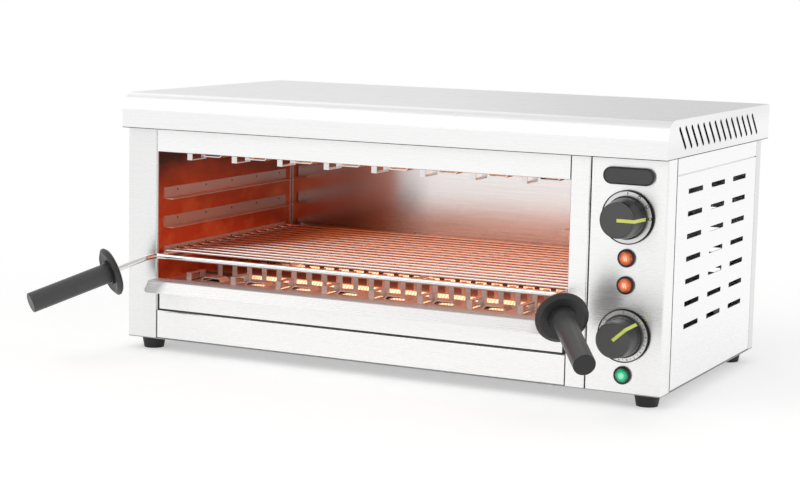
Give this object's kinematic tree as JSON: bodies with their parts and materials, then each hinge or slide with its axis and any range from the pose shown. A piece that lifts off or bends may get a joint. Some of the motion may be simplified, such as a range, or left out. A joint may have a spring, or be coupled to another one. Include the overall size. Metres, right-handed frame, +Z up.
{
  "type": "salamander grill",
  "caption": "Countertop electric salamander grill: open-front stainless cabinet, quartz heaters, sliding wire grid with splayed handles, pull-out crumb tray and control knobs.",
  "frame": {"origin": "on the counter under the feet, below the middle of the whole outline with its handles", "axes": "+X along the width towards the control panel, +Y towards the back, +Z up"},
  "size_m": [0.6418, 0.455, 0.274],
  "materials": {
    "stainless_sheet": "brushed",
    "heated_steel": "satin",
    "chromed_wire": "bright",
    "black_plastic": "satin black",
    "dial_metal": "satin",
    "pointer_plastic": "gloss",
    "plated_steel": "bright zinc",
    "device_plastic": "matt",
    "foot_rubber": "matt",
    "quartz": "milky",
    "heating_wire": "glowing",
    "ceramic": "matt glaze",
    "orange_lens": "lit lens",
    "green_lens": "lit lens"
  },
  "bodies": {
    "cabinet": {"back_panel": "stainless_sheet", "back_wall": "stainless_sheet", "badge_plate": "black_plastic", "base_plate": "stainless_sheet", "base_screws": "plated_steel", "cable_gland": "black_plastic", "chamber_floor": "stainless_sheet", "control_panel": "stainless_sheet", "foot_front_left": "foot_rubber", "foot_front_right": "foot_rubber", "foot_rear_left": "foot_rubber", "foot_rear_right": "foot_rubber", "foot_screws": "plated_steel", "green_lamp_lens": "green_lens", "heating_coils": "heating_wire", "hood": "stainless_sheet", "lamp_holders": "black_plastic", "left_lower_rail": "heated_steel", "left_middle_rail": "heated_steel", "left_side_panel": "stainless_sheet", "left_upper_rail": "heated_steel", "left_wall": "stainless_sheet", "lower_fascia": "stainless_sheet", "lower_heater_guard": "heated_steel", "lower_quartz_tubes": "quartz", "orange_lamp_lenses": "orange_lens", "right_lower_rail": "heated_steel", "right_middle_rail": "heated_steel", "right_top_rail": "stainless_sheet", "right_upper_rail": "heated_steel", "right_wall": "stainless_sheet", "selector_dial": "dial_metal", "selector_switch": "device_plastic", "side_cover": "stainless_sheet", "terminal_block": "device_plastic", "timer_body": "device_plastic", "timer_dial": "dial_metal", "top_fascia": "stainless_sheet", "tube_holders": "ceramic", "upper_heater_guard": "heated_steel", "upper_quartz_tubes": "quartz", "upper_reflector": "stainless_sheet"},
    "grill_grid": {"grid_rod_left": "chromed_wire", "grid_rod_right": "chromed_wire", "grid_front_bar": "chromed_wire", "grid_wires": "chromed_wire", "grid_support_rods": "chromed_wire", "hand_guard_left": "black_plastic", "hand_guard_right": "black_plastic", "grip_left": "black_plastic", "grip_right": "black_plastic"},
    "crumb_tray": {"crumb_tray_floor": "stainless_sheet", "crumb_tray_rim": "stainless_sheet", "crumb_tray_front": "stainless_sheet"},
    "selector": {"selector_knob": "black_plastic", "selector_pointer": "pointer_plastic", "selector_spindle": "plated_steel"},
    "timer": {"timer_knob": "black_plastic", "timer_pointer": "pointer_plastic", "timer_spindle": "plated_steel"}
  },
  "joints": [
    {"name": "grid_slide", "type": "slide", "parent": "cabinet", "child": "grill_grid", "axis": [0, -1, 0], "range_m": [0, 0.25]},
    {"name": "tray_slide", "type": "slide", "parent": "cabinet", "child": "crumb_tray", "axis": [0, -1, 0], "range_m": [0, 0.25]},
    {"name": "selector_turn", "type": "hinge", "parent": "cabinet", "child": "selector", "pos_m": [0.2814, -0.09345, 0.18175], "axis": [0, 1, 0], "range_deg": [-90, 0]},
    {"name": "timer_turn", "type": "hinge", "parent": "cabinet", "child": "timer", "pos_m": [0.2814, -0.09345, 0.06898], "axis": [0, 1, 0], "range_deg": [-48, 260]}
  ]
}
